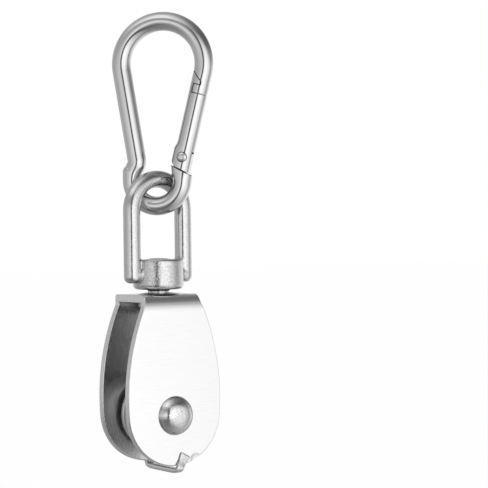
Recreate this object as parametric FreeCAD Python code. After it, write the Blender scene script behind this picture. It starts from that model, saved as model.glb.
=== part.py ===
import FreeCAD, Part
import math
import os

# Single pulley block: a folded sheet housing with a grooved sheave on a riveted axle, a swivel eye
# on a headed pin above it, and a wire snap hook linked through the eye.
#
# Millimetres. The origin is the centre of the sheave. +Z is up along the swivel pin, and the
# front cheek faces -Y, so the sheave turns about the Y axis. The eye and the hook are drawn
# in the XZ plane and then turned about the Z axis.

# Sheave
SHEAVE_D = 14.2            # over the flanges
SHEAVE_W = 6.6             # over the flanges' faces
GROOVE_R = 2.2             # round bottom of the rope groove
GROOVE_DEPTH = 2.1         # below the flanges' rims
FLANGE_LAND = 0.9          # width of each rim, with its rounded edge
RIM_ROUND = 0.45
HUB_D = 7.4                # bosses that keep the sheave between the cheeks
HUB_GAP = 0.2              # from a boss to a cheek
FACE_DISH = 0.5            # recess in each side between hub and flange
FACE_RIM = 1.5             # ring left full width outside the recess

# Axle rivet
AXLE_D = 4.0
AXLE_FIT = 0.06            # radial running clearance in the sheave
AXLE_HOLE_FIT = 0.02       # radial clearance in the cheeks
AXLE_HEAD_D = 7.6
AXLE_HEAD_H = 2.0
AXLE_HEAD_FLAT = 4.4       # flat left by the riveting tool
AXLE_TAIL_D = 7.0          # head closed at the back
AXLE_TAIL_H = 1.6
AXLE_TAIL_FLAT = 3.0

# Housing, one folded sheet
SHEET_T = 1.5
HOUSING_W = 11.8           # over both cheeks
HOUSING_TOP = 23.6         # top face above the sheave's centre
FOLD_R = 1.9               # outside radius of the two folds
CHEEK_R = 10.35            # round lower end
CHEEK_LIFT = 0.55          # its centre above the sheave's
CHEEK_SWELL = 0.11         # the sides stand this much further out at their widest
CHEEK_WIDE = 3.3           # height of the widest place
CHEEK_SHOULDER = 21.6      # height at which the sides run straight up again
CHEEK_EDGE = 0.25          # rounded edges of the outer faces

# Tie: a tab of the back cheek, led under the front cheek and hammered up over it
TIE_W = 2.0
TIE_T = 1.45
TIE_X = 1.1                # beside the middle of the cheeks
TIE_GAP = 0.15             # under the front cheek's edge, and in front of it
TIE_BEND = 0.35            # inside radius of its bends
TIE_LEAN = 20.0            # lean of the upturned end, in degrees
TIE_RISE = 3.7             # length of the upturned end above the bend
TIE_LOBE_R = 0.72          # two lobes of the hammered tip
TIE_LOBE_SPREAD = 0.55
DENT_R = 2.6               # hammer mark on the front cheek's rim
DENT_DEPTH = 0.22
DENT_AT = 9.2              # from the sheave's centre
DENT_ANGLE = -55.0

# Swivel pin
PIN_D = 4.45
PIN_FIT = 0.08             # radial running clearance in the housing's top
PIN_HEAD_SIDE = 0.3        # between the head and each cheek
PIN_HEAD_H = 2.5
PIN_HEAD_GAP = 0.12        # under the housing's top
PIN_SHANK_D = 3.9          # riveted part inside the eye's barrel
PIN_COLLAR_D = 5.2         # flare that carries the barrel
PIN_TIP_D = 5.4            # closed end in the barrel's countersink
PIN_TIP_DOME = 0.3

# Swivel eye, an arch on a barrel
EYE_GAP = 0.95             # between the housing's top and the barrel
BARREL_D = 10.0
BARREL_H = 5.9
BARREL_EDGE = 0.9          # round of the lower edge
BARREL_TOP_EDGE = 0.35
EYE_WIRE_D = 3.4
EYE_R = 6.2                # centreline radius of the arch
EYE_LEG = 9.65             # from the barrel's top to the arch's centre
EYE_FOOT = 4.6             # feet of the legs, under the barrel's top
EYE_FOOT_ROUND = 1.2
EYE_YAW = 5.0              # turn about the swivel pin, in degrees

# Snap hook, bent from round wire
WIRE_D = 3.7
LOOP_R = 5.1               # centreline radius of the lower loop
BOW_R = 8.4                # centreline radius of the bow
BOW_SHIFT = 1.4            # bow's centre to the gate side of the loop's
BOW_RISE = 22.9            # bow's centre above the loop's
LIMB_LEAN = 9.2            # lean of the back limb, in degrees
LEAD_LEAN = 27.0           # lean of the wire where it enters the loop
JOGGLE_R = 2.2             # centreline radius of the kink between them
SHOULDER_RISE = 2.8        # pressed shoulder on the loop's outer side, above its centre
SHOULDER_ROUND = 1.0
LINK_LIFT = 1.75           # clear height from the loop's bottom to the arch
LINK_SIDE = 0.37           # play that sets how far the eye crosses the loop

# Gate of the hook
GATE_LEAN = 13.85          # lean of the gate and the nose, in degrees
GATE_L = 12.8              # from pivot to upper joint
PIVOT_RISE = 4.4           # pivot above the loop's centre
JOINT_GAP = 0.22           # open line at both ends of the gate
LOWER_JOINT = 2.2          # gate's lower end from the pivot
JOINT_SLOPE = 28.0         # slope of that end, in degrees
HEEL_R = 2.35              # swept by the gate's rounded heel
FORK_SWELL = 0.45          # extra width of the gate's fork, on its inner side
FORK_TOP = 1.4             # above the pivot, where the fork starts to narrow
FORK_TAPER = 1.45
TAIL_SWELL = 0.35          # spread of the wire's flattened end, outwards at the pivot
TAIL_INNER = 1.0           # and inwards
LATCH_GAP = 0.12           # between the latch and the nose
LATCH_NECK = 0.8           # thickness of the latch's neck
LATCH_HEAD_W = 2.15        # width of its head
LATCH_SHOULDER = 1.55      # underside of the head above the upper joint
LATCH_HEAD_H = 0.75        # upright side of the head
LATCH_SLANT = 41.5         # slope of the head's top, in degrees

# Inside the gate
TONGUE_T = 1.6
TONGUE_ROOT = 1.2          # sunk in the wire below the lower joint
SLOT_GAP = 0.1             # each side of the tongue
SLOT_TOP = 2.5             # above the pivot
RIVET_D = 1.6
RIVET_HEAD_D = 1.95
RIVET_HEAD_T = 0.4
RIVET_FIT = 0.05           # radial running clearance in the gate
CAM_R = 1.35               # tongue's radius under the plunger, gate shut
CAM_GROWTH = 0.7           # growth of that radius for each radian of opening
CAM_GAP = 0.1              # from the tongue to the plunger
OPEN_ANGLE = 38.0          # full opening, in degrees
PLUNGER_D = 1.5
PLUNGER_L = 3.3
BORE_FIT = 0.08            # radial clearance of the plunger
BORE_END = 9.6             # above the pivot
SPRING_WIRE = 0.28
SPRING_D = 1.4             # over the coils
SPRING_TURNS = 7
SPRING_END_GAP = 0.05

# Places that follow from the sizes above
Vector = FreeCAD.Vector
UP = Vector(0, 0, 1)
ACROSS = Vector(0, 1, 0)
FAR = 30.0                 # past every face that a cut has to clear
WIRE_R = WIRE_D / 2
EYE_WIRE_R = EYE_WIRE_D / 2
CHEEK_FACE = HOUSING_W / 2
CHEEK_INSIDE = CHEEK_FACE - SHEET_T
PLATE_UNDER = HOUSING_TOP - SHEET_T
CHEEK_END = CHEEK_LIFT - CHEEK_R
BARREL_Z = HOUSING_TOP + EYE_GAP
BARREL_TOP = BARREL_Z + BARREL_H
ARCH_Z = BARREL_TOP + EYE_LEG
LOOP_BOTTOM = ARCH_Z + EYE_R - EYE_WIRE_R - LINK_LIFT - WIRE_R
LINK_CROSSING = math.degrees(math.asin((WIRE_R + EYE_WIRE_R + LINK_SIDE) / LOOP_R))
HOOK_YAW = EYE_YAW - LINK_CROSSING


def polar(centre, radius, angle):
    """Point of the XZ plane at a radius and an angle, in degrees, from a centre."""
    turn = math.radians(angle)
    return centre + Vector(radius * math.cos(turn), 0, radius * math.sin(turn))


def leaning(angle):
    """Direction that leans from +Z towards +X."""
    return Vector(math.sin(math.radians(angle)), 0, math.cos(math.radians(angle)))


LOOP_C = Vector(0, 0, LOOP_BOTTOM + LOOP_R)
BOW_C = LOOP_C + Vector(BOW_SHIFT, 0, BOW_RISE)
NOSE_TOP = polar(BOW_C, BOW_R, -GATE_LEAN)
LIMB_TOP = polar(BOW_C, BOW_R, 180 + LIMB_LEAN)
LEAD_END = polar(LOOP_C, LOOP_R, 180 - LEAD_LEAN)
GATE_UP = leaning(GATE_LEAN)
PIVOT = NOSE_TOP - GATE_UP * ((NOSE_TOP.z - LOOP_C.z - PIVOT_RISE) / GATE_UP.z)
GATE_FRAME = FreeCAD.Placement(PIVOT, FreeCAD.Rotation(ACROSS, GATE_LEAN))


def placed(shape, placement):
    """Copy of a shape, moved from its own frame by a placement."""
    moved = shape.copy()
    moved.Placement = placement.multiply(moved.Placement)
    return moved


def turned(shape, angle):
    """Copy of a shape, turned about the swivel's axis."""
    return placed(shape, FreeCAD.Placement(Vector(), FreeCAD.Rotation(UP, angle)))


def joined(shapes):
    """One solid from pieces that meet."""
    return shapes[0].multiFuse(shapes[1:]).removeSplitter()


def rod(start, end, radius):
    """Straight round rod."""
    run = end - start
    return Part.makeCylinder(radius, run.Length, start, run)


def bend(centre, start, turn, radius):
    """Round rod bent in the XZ plane; a positive turn is anticlockwise seen from -Y."""
    spoke = start - centre
    disc = Part.Face(Part.Wire(Part.Circle(start, Vector(-spoke.z, 0, spoke.x), radius).toShape()))
    axis = Vector(0, -1, 0) if turn > 0 else ACROSS
    return disc.revolve(centre, axis, abs(turn))


def block(low, high):
    """Box between two corners."""
    size = high - low
    return Part.makeBox(size.x, size.y, size.z, low)


def polygon_plate(points, depth):
    """Plate across Y = 0 with straight sides, from (x, z) points."""
    corners = [Vector(x, -depth / 2, z) for x, z in points]
    return Part.Face(Part.makePolygon(corners + corners[:1])).extrude(Vector(0, depth, 0))


def edge_plate(edges, depth):
    """Plate across Y = 0 from edges of the XZ plane."""
    face = Part.Face(Part.Wire(edges))
    face.translate(Vector(0, -depth / 2, 0))
    return face.extrude(Vector(0, depth, 0))


def turned_part(edges, axis):
    """Body of revolution about an axis through the origin."""
    return Part.Face(Part.Wire(edges)).revolve(Vector(), axis, 360)


def line(start, end):
    return Part.LineSegment(start, end).toShape()


def arc(start, middle, end):
    return Part.Arc(start, middle, end).toShape()


def chain(points):
    """Straight edges through points in order."""
    return [line(a, b) for a, b in zip(points, points[1:])]


def cap(radius, height, base):
    """Low round cap in (x, z), from its rim to its top on the Z axis."""
    sphere = (radius ** 2 + height ** 2) / (2 * height)
    middle = height - sphere + math.sqrt(sphere ** 2 - radius ** 2 / 4)
    return arc(Vector(radius, 0, base), Vector(radius / 2, 0, base + middle), Vector(0, 0, base + height))


def make_sheave():
    """Grooved wheel: a profile in (y, radius) turned about the Y axis."""
    half = SHEAVE_W / 2
    rim = SHEAVE_D / 2
    bore = AXLE_D / 2 + AXLE_FIT
    hub = HUB_D / 2
    hub_face = CHEEK_INSIDE - HUB_GAP
    dish = half - FACE_DISH
    bottom = rim - GROOVE_DEPTH
    flank = half - FLANGE_LAND
    reach = math.sqrt(GROOVE_R ** 2 - (GROOVE_R - GROOVE_DEPTH) ** 2)
    lip = min(reach, flank)
    lip_depth = GROOVE_R - math.sqrt(GROOVE_R ** 2 - lip ** 2)

    def at(y, radius):
        return Vector(0, y, radius)

    diag = RIM_ROUND * (1 - math.sqrt(0.5))
    side = [at(hub_face, bore), at(hub_face, hub), at(dish, hub), at(dish, rim - FACE_RIM),
            at(half, rim - FACE_RIM), at(half, rim - RIM_ROUND)]
    edge = arc(side[-1], at(half - diag, rim - diag), at(half - RIM_ROUND, rim))
    flank_edges = chain([at(half - RIM_ROUND, rim), at(flank, rim), at(lip, bottom + lip_depth)])
    right = chain(side) + [edge] + flank_edges
    left = [e.mirror(Vector(), ACROSS) for e in right]
    curve = arc(at(-lip, bottom + lip_depth), at(0, bottom), at(lip, bottom + lip_depth))
    inside = line(at(-hub_face, bore), at(hub_face, bore))
    return turned_part(Part.__sortEdges__(left + [curve, inside] + right), ACROSS)


def domed_head(face_y, outward, diameter, height, flat):
    """Half profile of a rivet head with a flat top, from the rim to the axis."""
    rim = Vector(0, face_y, diameter / 2)
    top = Vector(0, face_y + outward * height, flat / 2)
    over = math.radians(50)
    shoulder = Vector(0, face_y + outward * height * math.sin(over),
                      flat / 2 + (diameter - flat) / 2 * math.cos(over))
    return [arc(rim, shoulder, top), line(top, Vector(0, top.y, 0))]


def make_axle():
    """Rivet that carries the sheave: a tool-closed head on each cheek."""
    radius = AXLE_D / 2
    front = domed_head(-CHEEK_FACE, -1, AXLE_HEAD_D, AXLE_HEAD_H, AXLE_HEAD_FLAT)
    back = domed_head(CHEEK_FACE, 1, AXLE_TAIL_D, AXLE_TAIL_H, AXLE_TAIL_FLAT)
    shank = chain([Vector(0, -CHEEK_FACE, AXLE_HEAD_D / 2), Vector(0, -CHEEK_FACE, radius),
                   Vector(0, CHEEK_FACE, radius), Vector(0, CHEEK_FACE, AXLE_TAIL_D / 2)])
    axis = line(Vector(0, CHEEK_FACE + AXLE_TAIL_H, 0), Vector(0, -CHEEK_FACE - AXLE_HEAD_H, 0))
    return turned_part(Part.__sortEdges__(front + shank + back + [axis]), ACROSS)


def folded_sheet():
    """Channel section of the housing, in (y, z), drawn along X."""
    inner_r = FOLD_R - SHEET_T
    low = CHEEK_END - SHEET_T
    diag = math.sqrt(0.5)

    def at(y, z):
        return Vector(0, y, z)

    def half(side, face, top, radius):
        centre_y = side * (face - radius)
        centre_z = top - radius
        return [at(side * face, low), at(side * face, centre_z),
                at(centre_y + side * radius * diag, centre_z + radius * diag), at(centre_y, top)]

    left = half(-1, CHEEK_FACE, HOUSING_TOP, FOLD_R)
    right = half(1, CHEEK_FACE, HOUSING_TOP, FOLD_R)
    inner_left = half(-1, CHEEK_INSIDE, PLATE_UNDER, inner_r)
    inner_right = half(1, CHEEK_INSIDE, PLATE_UNDER, inner_r)
    edges = [line(left[0], left[1]), arc(*left[1:]), line(left[3], right[3]), arc(*right[:0:-1]),
             line(right[1], right[0]), line(right[0], inner_right[0]),
             line(inner_right[0], inner_right[1]), arc(*inner_right[1:]),
             line(inner_right[3], inner_left[3]), arc(*inner_left[:0:-1]),
             line(inner_left[1], inner_left[0]), line(inner_left[0], left[0])]
    face = Part.Face(Part.Wire(edges))
    face.translate(Vector(-FAR, 0, 0))
    return face.extrude(Vector(2 * FAR, 0, 0))


def cheek_outline():
    """Outline that both cheeks share: a round end, long side curves and a narrow top."""
    rise = CHEEK_WIDE - CHEEK_LIFT
    side_r = rise ** 2 / (2 * CHEEK_SWELL) + CHEEK_R + CHEEK_SWELL / 2
    inset = side_r - CHEEK_R - CHEEK_SWELL

    def side_x(z):
        return math.sqrt(side_r ** 2 - (z - CHEEK_WIDE) ** 2) - inset

    def side(sign):
        reach = CHEEK_R / math.hypot(inset, rise)
        start = Vector(sign * inset * reach, 0, CHEEK_LIFT - rise * reach)
        middle = Vector(sign * side_x(CHEEK_WIDE), 0, CHEEK_WIDE)
        end = Vector(sign * side_x(CHEEK_SHOULDER), 0, CHEEK_SHOULDER)
        top = Vector(end.x, 0, HOUSING_TOP + SHEET_T)
        return start, [arc(start, middle, end), line(end, top)], top

    left_foot, left, left_top = side(-1)
    right_foot, right, right_top = side(1)
    round_end = arc(left_foot, Vector(0, 0, CHEEK_END), right_foot)
    return Part.__sortEdges__(left + [line(left_top, right_top)] + right + [round_end])


def tie_strap():
    """Tab of the back cheek that runs forward under the front cheek."""
    top = CHEEK_END - TIE_GAP
    low = top - TIE_T
    outer = TIE_BEND + TIE_T
    back = CHEEK_INSIDE + TIE_T
    front = -CHEEK_FACE - TIE_GAP
    diag = 1 - math.sqrt(0.5)

    def at(y, z):
        return Vector(TIE_X - TIE_W / 2, y, z)

    edges = [line(at(front, low), at(back - outer, low)),
             arc(at(back - outer, low), at(back - outer * diag, low + outer * diag), at(back, low + outer)),
             line(at(back, low + outer), at(back, CHEEK_END + SHEET_T)),
             line(at(back, CHEEK_END + SHEET_T), at(CHEEK_INSIDE, CHEEK_END + SHEET_T)),
             line(at(CHEEK_INSIDE, CHEEK_END + SHEET_T), at(CHEEK_INSIDE, top + TIE_BEND)),
             arc(at(CHEEK_INSIDE, top + TIE_BEND),
                 at(CHEEK_INSIDE - TIE_BEND * diag, top + TIE_BEND * diag),
                 at(CHEEK_INSIDE - TIE_BEND, top)),
             line(at(CHEEK_INSIDE - TIE_BEND, top), at(front, top)),
             line(at(front, top), at(front, low))]
    return Part.Face(Part.Wire(edges)).extrude(Vector(TIE_W, 0, 0))


def tie_tip():
    """End of the tab, bent up against the front cheek and hammered to two lobes."""
    top = CHEEK_END - TIE_GAP
    low = top - TIE_T
    inside = -CHEEK_FACE - TIE_GAP
    outside = inside - TIE_T
    outer = TIE_BEND + TIE_T
    diag = math.sqrt(0.5)
    rise = low + outer + TIE_RISE
    root = inside + TIE_BEND + TIE_T

    def at(y, z):
        return Vector(-TIE_W / 2, y, z)

    bend_y = inside + TIE_BEND
    bend_z = top + TIE_BEND
    edges = [line(at(root, low), at(bend_y, low)),
             arc(at(bend_y, low), at(bend_y - outer * diag, bend_z - outer * diag), at(outside, bend_z)),
             line(at(outside, bend_z), at(outside, rise)),
             line(at(outside, rise), at(inside, rise)),
             line(at(inside, rise), at(inside, bend_z)),
             arc(at(inside, bend_z), at(bend_y - TIE_BEND * diag, bend_z - TIE_BEND * diag),
                 at(bend_y, top)),
             line(at(bend_y, top), at(root, top)),
             line(at(root, top), at(root, low))]
    strip = Part.Face(Part.Wire(edges)).extrude(Vector(TIE_W, 0, 0))
    lobes = [Part.makeCylinder(TIE_LOBE_R, TIE_T, Vector(side * TIE_LOBE_SPREAD, outside, rise), ACROSS)
             for side in (-1, 1)]
    tip = joined([strip] + lobes)
    lean = FreeCAD.Placement(Vector(TIE_X, 0, 0), FreeCAD.Rotation(ACROSS, TIE_LEAN),
                             Vector(0, 0, (top + low) / 2))
    return placed(tip, lean)


def outer_edges(shape):
    """Edges round the outer faces of both cheeks, apart from the folds' ends."""
    found = []
    for edge in shape.Edges:
        box = edge.BoundBox
        on_face = abs(abs(box.YMin) - CHEEK_FACE) < 1e-4 and box.YLength < 1e-4
        if on_face and edge.Length > 1.0 and box.ZMax < HOUSING_TOP - FOLD_R + 1e-4 and box.ZLength > 1e-4:
            found.append(edge)
    return found


def make_housing():
    """Folded sheet with its holes, the tie and the hammer mark."""
    blank = folded_sheet().common(edge_plate(cheek_outline(), 2 * FAR)).removeSplitter()
    sheet = blank.makeFillet(CHEEK_EDGE, outer_edges(blank))
    axle_hole = Part.makeCylinder(AXLE_D / 2 + AXLE_HOLE_FIT, 2 * FAR, Vector(0, -FAR, 0), ACROSS)
    pin_hole = Part.makeCylinder(PIN_D / 2 + PIN_FIT, FAR, Vector(0, 0, CHEEK_WIDE), UP)
    dent_centre = polar(Vector(0, -CHEEK_FACE - DENT_R + DENT_DEPTH, 0), DENT_AT, DENT_ANGLE)
    dent = Part.makeSphere(DENT_R, dent_centre)
    sheet = sheet.cut(Part.makeCompound([axle_hole, pin_hole, dent]))
    return joined([sheet, tie_strap(), tie_tip()])


def make_pin():
    """Swivel pin: a mushroom head under the housing's top, a neck, and a riveted shank."""
    head_top = PLATE_UNDER - PIN_HEAD_GAP
    head_r = CHEEK_INSIDE - PIN_HEAD_SIDE
    neck = PIN_D / 2
    shank = PIN_SHANK_D / 2
    collar = PIN_COLLAR_D / 2
    flare = (PIN_TIP_D - PIN_SHANK_D) / 2

    def at(radius, z):
        return Vector(radius, 0, z)

    skirt = head_top - PIN_HEAD_H / 3
    edges = [line(at(0, head_top - PIN_HEAD_H), at(head_r / 3, head_top - PIN_HEAD_H)),
             arc(at(head_r / 3, head_top - PIN_HEAD_H),
                 at(head_r * 0.8, head_top - PIN_HEAD_H * 0.78), at(head_r, skirt))]
    edges += chain([at(head_r, skirt), at(head_r, head_top), at(neck, head_top),
                    at(neck, BARREL_Z - (collar - neck)), at(collar, BARREL_Z), at(shank, BARREL_Z),
                    at(shank, BARREL_TOP - flare), at(shank + flare, BARREL_TOP)])
    edges += [cap(shank + flare, PIN_TIP_DOME, BARREL_TOP),
              line(at(0, BARREL_TOP + PIN_TIP_DOME), at(0, head_top - PIN_HEAD_H))]
    return turned_part(edges, UP)


def make_eye():
    """Arch and legs of round section, the legs' feet cast on to a barrel."""
    centre = Vector(0, 0, ARCH_Z)
    pieces = [bend(centre, centre + Vector(EYE_R, 0, 0), 180, EYE_WIRE_R)]
    foot = BARREL_TOP - EYE_FOOT
    for side in (-1, 1):
        leg = rod(Vector(side * EYE_R, 0, foot), Vector(side * EYE_R, 0, ARCH_Z), EYE_WIRE_R)
        rim = [e for e in leg.Edges if e.BoundBox.ZMax < foot + 1e-6]
        pieces.append(leg.makeFillet(EYE_FOOT_ROUND, rim))
        web = foot + EYE_WIRE_R
        pieces.append(rod(Vector(side * EYE_R, 0, web), Vector(side * PIN_SHANK_D / 2, 0, web), EYE_WIRE_R))
    barrel = Part.makeCylinder(BARREL_D / 2, BARREL_H, Vector(0, 0, BARREL_Z), UP)
    low_edge = [e for e in barrel.Edges if e.BoundBox.ZMax < BARREL_Z + 1e-6]
    barrel = barrel.makeFillet(BARREL_EDGE, low_edge)
    top_edge = [e for e in barrel.Edges if e.BoundBox.ZMin > BARREL_TOP - 1e-6]
    barrel = barrel.makeFillet(BARREL_TOP_EDGE, top_edge)
    eye = joined(pieces + [barrel])
    shank = PIN_SHANK_D / 2
    flare = (PIN_TIP_D - PIN_SHANK_D) / 2
    bore = Part.makeCylinder(shank, BARREL_H, Vector(0, 0, BARREL_Z), UP)
    sink = Part.makeCone(shank, shank + flare, flare, Vector(0, 0, BARREL_TOP - flare), UP)
    return turned(eye.cut(bore).cut(sink), EYE_YAW)


def limb_corner():
    """Where the back limb's line meets the line that leads into the loop."""
    down = -leaning(-LIMB_LEAN)
    lead = leaning(LEAD_LEAN)
    gap = LEAD_END - LIMB_TOP
    run = (gap.x * lead.z - gap.z * lead.x) / (down.x * lead.z - down.z * lead.x)
    return LIMB_TOP + down * run


def latch_points(gap, low):
    """Outline of the latch above the upper joint, in the gate's frame, grown by a gap."""
    inner = -WIRE_R - 1.0
    neck = -WIRE_R + LATCH_NECK + gap
    head = -WIRE_R + LATCH_HEAD_W + gap
    shoulder = GATE_L + LATCH_SHOULDER - gap
    slope = math.radians(LATCH_SLANT)
    corner = GATE_L + LATCH_SHOULDER + LATCH_HEAD_H + gap / math.cos(slope) - gap * math.tan(slope)
    crest = corner + (head - inner) * math.tan(slope)
    return [(inner, low), (neck, low), (neck, shoulder), (head, shoulder), (head, corner), (inner, crest)]


def below_joint(distance):
    """Block under the sloping plane that cuts the wire below the pivot, in the gate's frame."""
    shape = block(Vector(-FAR / 2, -FAR / 2, -FAR), Vector(FAR / 2, FAR / 2, -distance))
    shape.rotate(Vector(), ACROSS, JOINT_SLOPE - GATE_LEAN)
    return shape


def make_tongue():
    """Flat end of the hook inside the gate's slot, with a spiral edge for the plunger."""
    def cam(angle):
        return polar(Vector(), CAM_R + CAM_GROWTH * math.radians(angle - 90), angle)

    foot = -LOWER_JOINT - JOINT_GAP - TONGUE_ROOT
    first = 75.0
    last = 90 + OPEN_ANGLE + 14
    side = Vector(CAM_R + 0.1, 0, 0)
    shoulder = polar(Vector(), (side.x + cam(first).Length) / 2, first / 2)
    end = cam(last)
    edges = [line(Vector(side.x, 0, foot), side), arc(side, shoulder, cam(first)),
             arc(cam(first), cam((first + last) / 2), end)]
    edges += chain([end, Vector(-CAM_R, 0, -CAM_R), Vector(-CAM_R / 2, 0, foot), Vector(side.x, 0, foot)])
    tongue = edge_plate(edges, TONGUE_T)
    hole = Part.makeCylinder(RIVET_D / 2, FAR, Vector(0, -FAR / 2, 0), ACROSS)
    return placed(tongue.cut(hole), GATE_FRAME)


def in_gate_frame(point):
    return placed(Part.Vertex(point), GATE_FRAME).Point


def loop_shoulder():
    """Straight pressed shoulder where the wire comes into the loop."""
    side = LOOP_C - Vector(LOOP_R, 0, 0)
    stub = rod(side, side + UP * SHOULDER_RISE, WIRE_R)
    rim = [e for e in stub.Edges if e.BoundBox.ZMin > side.z + SHOULDER_RISE - 1e-6]
    return stub.makeFillet(SHOULDER_ROUND, rim)


def make_hook():
    """Bent wire from the nose over the bow, down the limb and round the loop to the tongue."""
    nose_end = PIVOT + GATE_UP * (GATE_L + JOINT_GAP / 2)
    corner = limb_corner()
    turn = LIMB_LEAN + LEAD_LEAN
    reach = JOGGLE_R * math.tan(math.radians(turn / 2))
    joggle_start = corner + (LIMB_TOP - corner).normalize() * reach
    joggle_end = corner + (LEAD_END - corner).normalize() * reach
    joggle_centre = joggle_start - Vector(math.cos(math.radians(LIMB_LEAN)), 0,
                                          math.sin(math.radians(LIMB_LEAN))) * JOGGLE_R
    to_pivot = PIVOT - LOOP_C
    tail_angle = math.degrees(math.atan2(to_pivot.z, to_pivot.x) - math.acos(LOOP_R / to_pivot.Length))
    tail_start = polar(LOOP_C, LOOP_R, tail_angle)
    tail = joined([rod(tail_start, in_gate_frame(Vector(x, 0, 0)), WIRE_R) for x in (-TAIL_INNER, 0, TAIL_SWELL)])
    tail = tail.common(placed(below_joint(LOWER_JOINT + JOINT_GAP), GATE_FRAME))
    wire = joined([
        rod(nose_end, NOSE_TOP, WIRE_R),
        bend(BOW_C, NOSE_TOP, 180 + LIMB_LEAN + GATE_LEAN, WIRE_R),
        rod(LIMB_TOP, joggle_start, WIRE_R),
        bend(joggle_centre, joggle_start, -turn, WIRE_R),
        rod(joggle_end, LEAD_END, WIRE_R),
        bend(LOOP_C, LEAD_END, 180 + LEAD_LEAN + tail_angle, WIRE_R),
        loop_shoulder(),
        tail,
        make_tongue(),
    ])
    recess = polygon_plate(latch_points(LATCH_GAP, GATE_L - 1.0), FAR)
    return turned(wire.cut(placed(recess, GATE_FRAME)), HOOK_YAW)


def gate_bore_start():
    return CAM_R + CAM_GAP


def make_gate():
    """Gate: a round bar, forked over the tongue below and latched to the nose above."""
    bar = rod(Vector(0, 0, -FAR / 2), Vector(0, 0, GATE_L + FAR / 2), WIRE_R)
    stem = block(Vector(-FAR, -FAR, -FAR), Vector(FAR, FAR, GATE_L - JOINT_GAP / 2))
    aside = Vector(-FORK_SWELL, 0, 0)
    fork_top = UP * FORK_TOP
    bar = joined([bar, rod(aside - UP * FAR / 2, aside + fork_top, WIRE_R),
                  rod(aside + fork_top, fork_top + UP * FORK_TAPER, WIRE_R)])
    gate = bar.common(joined([stem, polygon_plate(latch_points(0, GATE_L - 1.0), FAR)]))
    heel = block(Vector(-FAR, -FAR, -FAR), Vector(0, FAR, 0))
    heel = heel.cut(Part.makeCylinder(HEEL_R, 2 * FAR, Vector(0, -FAR, 0), ACROSS))
    slot = block(Vector(-FAR, -TONGUE_T / 2 - SLOT_GAP, -FAR), Vector(FAR, TONGUE_T / 2 + SLOT_GAP, SLOT_TOP))
    cuts = [below_joint(LOWER_JOINT), heel, slot]
    cuts.append(Part.makeCylinder(RIVET_D / 2 + RIVET_FIT, FAR, Vector(0, -FAR / 2, 0), ACROSS))
    for side in (-1, 1):
        sink = Vector(0, side * (WIRE_R - RIVET_HEAD_T - RIVET_FIT), 0)
        cuts.append(Part.makeCylinder(RIVET_HEAD_D / 2 + RIVET_FIT, FAR, sink, ACROSS * side))
    bore_r = PLUNGER_D / 2 + BORE_FIT
    cuts.append(Part.makeCylinder(bore_r, BORE_END - SLOT_TOP, Vector(0, 0, SLOT_TOP), UP))
    cuts.append(Part.makeCone(bore_r, 0, bore_r * 0.6, Vector(0, 0, BORE_END), UP))
    for cut in cuts:
        gate = gate.cut(cut)
    return turned(placed(gate, GATE_FRAME), HOOK_YAW)


def make_rivet():
    """Pivot rivet, dressed to the wire's round at both heads."""
    shank = rod(Vector(0, -WIRE_R, 0), Vector(0, WIRE_R, 0), RIVET_D / 2)
    heads = [rod(Vector(0, side * (WIRE_R - RIVET_HEAD_T), 0), Vector(0, side * FAR, 0), RIVET_HEAD_D / 2)
             for side in (-1, 1)]
    bar = rod(Vector(0, 0, -FAR), Vector(0, 0, FAR), WIRE_R + 0.05)
    rivet = joined([shank] + heads).common(bar)
    return turned(placed(rivet, GATE_FRAME), HOOK_YAW)


def make_plunger():
    """Round-tipped pin that the spring holds on the tongue's edge."""
    radius = PLUNGER_D / 2
    low = gate_bore_start()
    high = low + PLUNGER_L
    diag = 1 - math.sqrt(0.5)

    def at(r, z):
        return Vector(r, 0, z)

    edges = [arc(at(0, low), at(radius * (1 - diag), low + radius * diag), at(radius, low + radius)),
             line(at(radius, low + radius), at(radius, high)),
             line(at(radius, high), at(0, high)), line(at(0, high), at(0, low))]
    return turned(placed(turned_part(edges, UP), GATE_FRAME), HOOK_YAW)


def make_spring():
    """Closed coil spring between the plunger and the end of the bore."""
    low = gate_bore_start() + PLUNGER_L + SPRING_END_GAP + SPRING_WIRE / 2
    high = BORE_END - SPRING_END_GAP - SPRING_WIRE / 2
    radius = (SPRING_D - SPRING_WIRE) / 2
    pitch = (high - low) / SPRING_TURNS
    helix = Part.makeHelix(pitch, high - low, radius)
    climb = Vector(0, 2 * math.pi * radius, pitch)
    section = Part.Wire(Part.Circle(Vector(radius, 0, 0), climb, SPRING_WIRE / 2).toShape())
    spring = Part.Wire(helix).makePipeShell([section], True, True)
    spring.translate(Vector(0, 0, low))
    return turned(placed(spring, GATE_FRAME), HOOK_YAW)


PIECES = {
    "hook_body": make_hook,
    "hook_gate": make_gate,
    "gate_rivet": make_rivet,
    "gate_plunger": make_plunger,
    "gate_spring": make_spring,
    "swivel_eye": make_eye,
    "swivel_pin": make_pin,
    "housing": make_housing,
    "sheave": make_sheave,
    "axle_rivet": make_axle,
}

os.makedirs("parts", exist_ok=True)
for name, make in PIECES.items():
    make().exportStep("parts/" + name + ".step")
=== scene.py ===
# %% [markdown]
# # A small stainless pulley block
#
# The real thing is all metal: a folded sheet housing with a grooved wheel between its cheeks, a
# swivel eye cast in one piece, and a snap hook bent from round wire. The CAD model already gives
# every shape its place and size. This lesson dresses it: smooth meshes that reflect cleanly, worn
# edges, the marks that each way of making leaves, and a studio that a shiny object can mirror.

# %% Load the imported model
import bpy
import bmesh
import math
from mathutils import Matrix, Vector


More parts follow.
